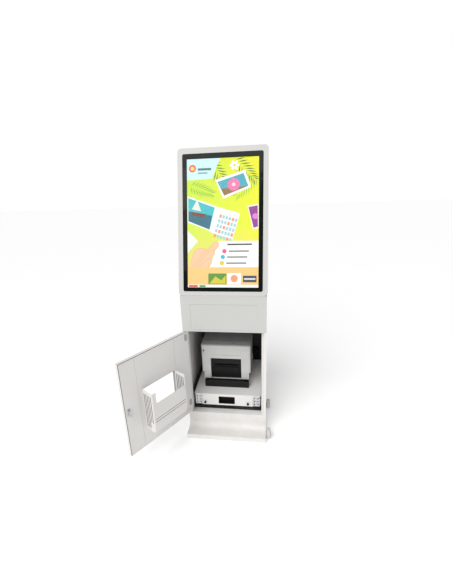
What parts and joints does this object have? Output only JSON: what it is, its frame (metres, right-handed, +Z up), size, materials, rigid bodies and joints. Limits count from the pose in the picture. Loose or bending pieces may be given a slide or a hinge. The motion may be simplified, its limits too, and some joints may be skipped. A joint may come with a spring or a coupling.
{
  "type": "photo print kiosk",
  "caption": "Floor-standing self-service print kiosk: reclined portrait touch screen over a cabinet with a hinged door, print pocket and photo printer on a pull-out tray.",
  "frame": {"origin": "centre of the four floor anchor holes, on the floor face of the base plate", "axes": "+Z up, +Y from the front of the cabinet to its back, +X to the right of a person who faces the screen"},
  "size_m": [0.7569, 0.903, 1.6875],
  "materials": {
    "painted_steel": "satin powder coat",
    "galvanised": "galvanised",
    "zinc": "zinc plated",
    "chrome": "polished",
    "touch_glass": "gloss, black printed border",
    "display": "lit screen",
    "circuit_board": "solder mask",
    "rubber": "matt",
    "nylon": "moulded",
    "roller_nylon": "moulded",
    "black_plastic": "fine texture",
    "black_metal": "matt",
    "printer_grey": "fine texture",
    "printer_dark": "fine texture",
    "paper": "paper",
    "ribbon_film": "film"
  },
  "bodies": {
    "root": {"base_plate": "painted_steel", "plinth_cover": "painted_steel", "cabinet_side_left": "painted_steel", "cabinet_side_right": "painted_steel", "door_frame": "painted_steel", "neck_panel": "painted_steel", "neck_cover": "painted_steel", "upper_shelf": "galvanised", "lower_shelf": "galvanised", "rear_panel": "painted_steel", "rear_service_cover": "painted_steel", "service_cover_screws": "zinc", "shoulder_cover": "painted_steel", "head_mount_plate": "galvanised", "head_bezel": "painted_steel", "glass_gasket": "rubber", "touch_glass": "touch_glass", "display_panel": "display", "display_chassis": "galvanised", "display_driver_board": "circuit_board", "head_back_cover": "painted_steel", "speakers": "black_plastic", "door_pivot_brackets": "zinc", "lock_strike": "zinc", "slide_outer_rails": "zinc", "mini_pc": "black_metal", "power_supply": "galvanised", "outlet_block": "black_plastic", "power_inlet": "black_plastic", "cable_gland": "black_plastic", "fan_frame": "black_plastic", "roller_brackets": "zinc"},
    "door": {"door_panel": "painted_steel", "door_liner": "painted_steel", "door_pivot_housings": "nylon", "print_pocket": "painted_steel", "lock_body": "chrome"},
    "lock_cam": {"lock_cam": "zinc"},
    "middle_rails": {"slide_middle_rails": "zinc"},
    "tray": {"tray_deck": "painted_steel", "tray_grip_liner": "black_plastic", "slide_brackets": "galvanised", "slide_inner_rails": "zinc", "printer_case": "printer_grey", "printer_front_panel": "printer_grey", "printer_output_plate": "black_plastic", "printer_feet": "rubber", "printer_paper_roll": "paper", "printer_ribbon_roll": "ribbon_film", "printer_button_switch": "black_plastic"},
    "tray_knob_left": {"tray_knob_left": "black_plastic"},
    "tray_knob_right": {"tray_knob_right": "black_plastic"},
    "printer_lid": {"printer_lid": "printer_dark"},
    "waste_bin": {"printer_waste_bin": "black_plastic"},
    "printer_button": {"printer_button": "black_plastic"},
    "power_rocker": {"power_rocker": "black_plastic"},
    "fan_rotor": {"fan_rotor": "black_plastic"},
    "roller_front": {"roller_front": "roller_nylon"},
    "roller_rear": {"roller_rear": "roller_nylon"}
  },
  "joints": [
    {"name": "door_hinge", "type": "hinge", "parent": "root", "child": "door", "pos_m": [-0.23, -0.23, 0.41], "axis": [0, 0, -1], "range_deg": [-122.5, 27.5]},
    {"name": "lock_turn", "type": "hinge", "parent": "door", "child": "lock_cam", "pos_m": [-0.46185, -0.59392, 0.41], "axis": [-0.8434, 0.5373, 0], "range_deg": [0, 90]},
    {"name": "tray_slide", "type": "slide", "parent": "root", "child": "tray", "axis": [0, -1, 0], "range_m": [0, 0.3]},
    {"name": "middle_rails_slide", "type": "slide", "parent": "root", "child": "middle_rails", "axis": [0, -1, 0], "range_m": [0, 0.15]},
    {"name": "waste_bin_slide", "type": "slide", "parent": "tray", "child": "waste_bin", "axis": [0, -1, 0], "range_m": [0, 0.2]},
    {"name": "printer_button_press", "type": "slide", "parent": "tray", "child": "printer_button", "axis": [0, 1, 0], "range_m": [0, 0.0015], "stiffness_N_per_m": 400, "springref_m": -0.002},
    {"name": "power_rocker_tilt", "type": "hinge", "parent": "root", "child": "power_rocker", "pos_m": [0.15, 0.261, 0.113], "axis": [1, 0, 0], "range_deg": [0, 14]},
    {"name": "fan_spin", "type": "hinge", "parent": "root", "child": "fan_rotor", "pos_m": [0, 0.25, 0.6], "axis": [0, 1, 0], "continuous": true},
    {"name": "printer_lid_hinge", "type": "hinge", "parent": "tray", "child": "printer_lid", "pos_m": [-0.0155, 0.224, 0.527], "axis": [-1, 0, 0], "range_deg": [0, 30]},
    {"name": "tray_knob_left_spin", "type": "hinge", "parent": "tray", "child": "tray_knob_left", "pos_m": [-0.143, -0.206, 0.179], "axis": [0, 1, 0], "continuous": true},
    {"name": "tray_knob_right_spin", "type": "hinge", "parent": "tray", "child": "tray_knob_right", "pos_m": [0.13, -0.206, 0.179], "axis": [0, 1, 0], "continuous": true},
    {"name": "roller_front_spin", "type": "hinge", "parent": "root", "child": "roller_front", "pos_m": [0.2595, -0.279, 0.032], "axis": [1, 0, 0], "continuous": true},
    {"name": "roller_rear_spin", "type": "hinge", "parent": "root", "child": "roller_rear", "pos_m": [0.2595, 0, 0.032], "axis": [1, 0, 0], "continuous": true}
  ],
  "couplings": [
    {"joint": "middle_rails_slide", "follows": "tray_slide", "ratio": 0.5}
  ]
}
